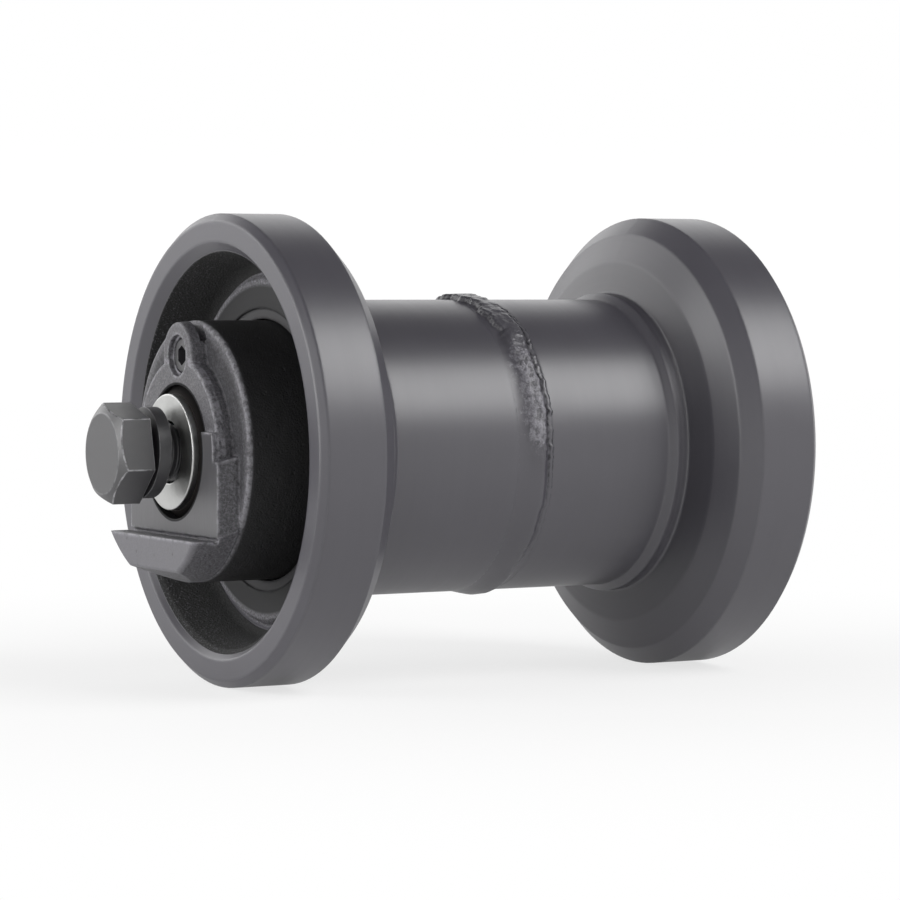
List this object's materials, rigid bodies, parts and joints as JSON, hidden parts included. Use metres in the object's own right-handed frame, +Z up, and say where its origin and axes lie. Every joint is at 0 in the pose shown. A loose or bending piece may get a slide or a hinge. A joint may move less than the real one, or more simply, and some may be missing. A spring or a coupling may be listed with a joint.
{
  "type": "track roller",
  "caption": "Track roller: dished wheels on a welded barrel, turning on a fixed shaft between cast end collars that carry hex bolts with lock washers.",
  "frame": {"origin": "middle of the roller's axis, which is also the middle of the bounding box", "axes": "+Y along the axis towards the far end, +Z up in use (oil plugs at the top, ledges at the bottom), +X to the side"},
  "size_m": [0.16, 0.2746, 0.16],
  "materials": {
    "wheel_paint": "satin",
    "weld_paint": "satin",
    "collar_casting": "sand-cast, matt",
    "shaft_steel": "ground",
    "bushing_bronze": "machined",
    "seal_ring_iron": "lapped",
    "seal_rubber": "smooth",
    "pin_steel": "ground",
    "black_fastener": "black oxide",
    "bright_zinc": "bright zinc plate"
  },
  "bodies": {
    "axle": {"shaft": "shaft_steel", "collar_near": "collar_casting", "lock_pin_near": "pin_steel", "shaft_oring_near": "seal_rubber", "seal_ring_fixed_near": "seal_ring_iron", "seal_toric_fixed_near": "seal_rubber", "oil_plug_near": "black_fastener", "bolt_near": "black_fastener", "plain_washer_near": "bright_zinc", "spring_washer_near": "black_fastener", "collar_far": "collar_casting", "lock_pin_far": "pin_steel", "shaft_oring_far": "seal_rubber", "seal_ring_fixed_far": "seal_ring_iron", "seal_toric_fixed_far": "seal_rubber", "oil_plug_far": "black_fastener", "bolt_far": "black_fastener", "plain_washer_far": "bright_zinc", "spring_washer_far": "black_fastener"},
    "roller": {"weld_bead": "weld_paint", "shell_near": "wheel_paint", "bushing_near": "bushing_bronze", "seal_ring_turning_near": "seal_ring_iron", "seal_toric_turning_near": "seal_rubber", "shell_far": "wheel_paint", "bushing_far": "bushing_bronze", "seal_ring_turning_far": "seal_ring_iron", "seal_toric_turning_far": "seal_rubber"}
  },
  "joints": [
    {"name": "roller_spin", "type": "hinge", "parent": "axle", "child": "roller", "pos_m": [0, 0, 0], "axis": [0, 1, 0], "continuous": true}
  ]
}
